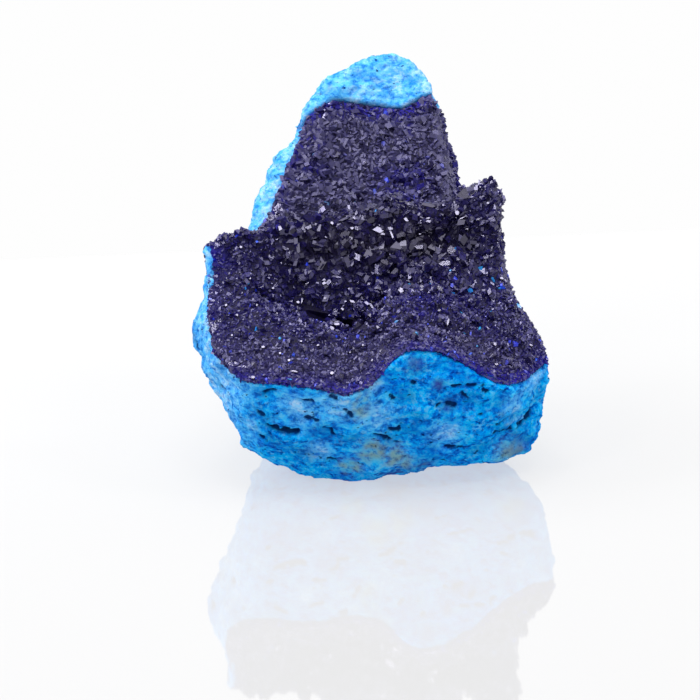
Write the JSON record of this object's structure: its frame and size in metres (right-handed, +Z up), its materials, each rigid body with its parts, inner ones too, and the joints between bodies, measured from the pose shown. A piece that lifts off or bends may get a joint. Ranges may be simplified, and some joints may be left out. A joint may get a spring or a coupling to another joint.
{
  "type": "azurite specimen",
  "caption": "Chunk of soft blue stone carrying a druse of dark azurite crystals over its front, with a bare cap and a flat broken base it rests on.",
  "frame": {"origin": "middle of the bounding box at the surface the specimen rests on", "axes": "+Z up; -Y towards the pictured front, the broken blue face under the druse's lip; +X to the right as seen from the front"},
  "size_m": [0.0418, 0.049, 0.0452],
  "materials": {
    "blue_stone": "chalky, rough",
    "azurite": "glassy crystal faces"
  },
  "bodies": {
    "root": {"matrix": "blue_stone", "azurite_druse": "azurite"}
  },
  "joints": []
}
